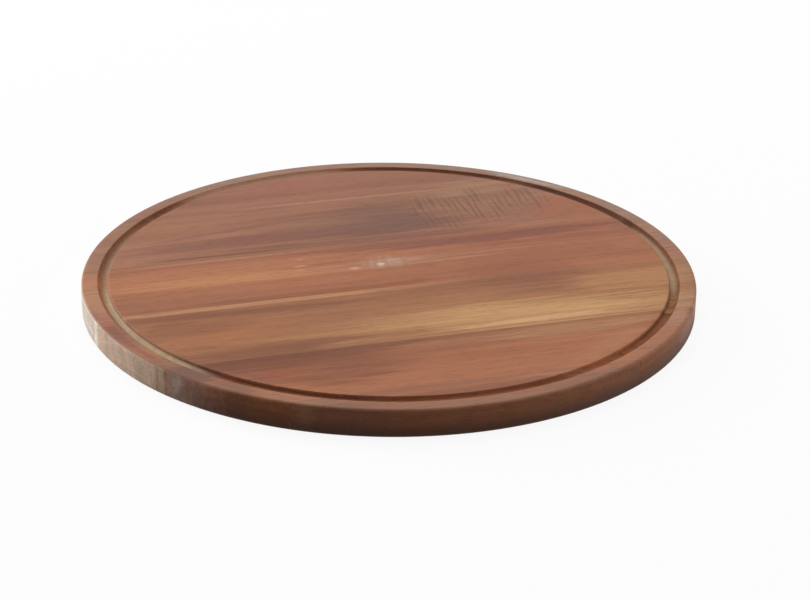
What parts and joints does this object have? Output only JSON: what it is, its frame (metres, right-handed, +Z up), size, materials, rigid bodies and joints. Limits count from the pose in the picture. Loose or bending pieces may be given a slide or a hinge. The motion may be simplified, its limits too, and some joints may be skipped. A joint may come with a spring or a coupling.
{
  "type": "cake plate",
  "caption": "Flat round wooden cake plate, glued up from parallel staves, with a cove-shaped juice groove cut just inside its flat rim.",
  "frame": {"origin": "centre of the flat underside, on the surface that the plate rests on", "axes": "+Z up through the serving face, +X along the grain of the staves, +Y across the staves"},
  "size_m": [0.32, 0.32, 0.015],
  "materials": {
    "stave_1": "satin",
    "stave_2": "satin",
    "stave_3": "satin",
    "stave_4": "satin",
    "stave_5": "satin",
    "stave_6": "satin",
    "glue": "matte"
  },
  "bodies": {
    "root": {"stave_1": "stave_1", "stave_2": "stave_2", "stave_3": "stave_3", "stave_4": "stave_4", "stave_5": "stave_5", "stave_6": "stave_6", "glue_line_1": "glue", "glue_line_2": "glue", "glue_line_3": "glue", "glue_line_4": "glue", "glue_line_5": "glue"}
  },
  "joints": []
}
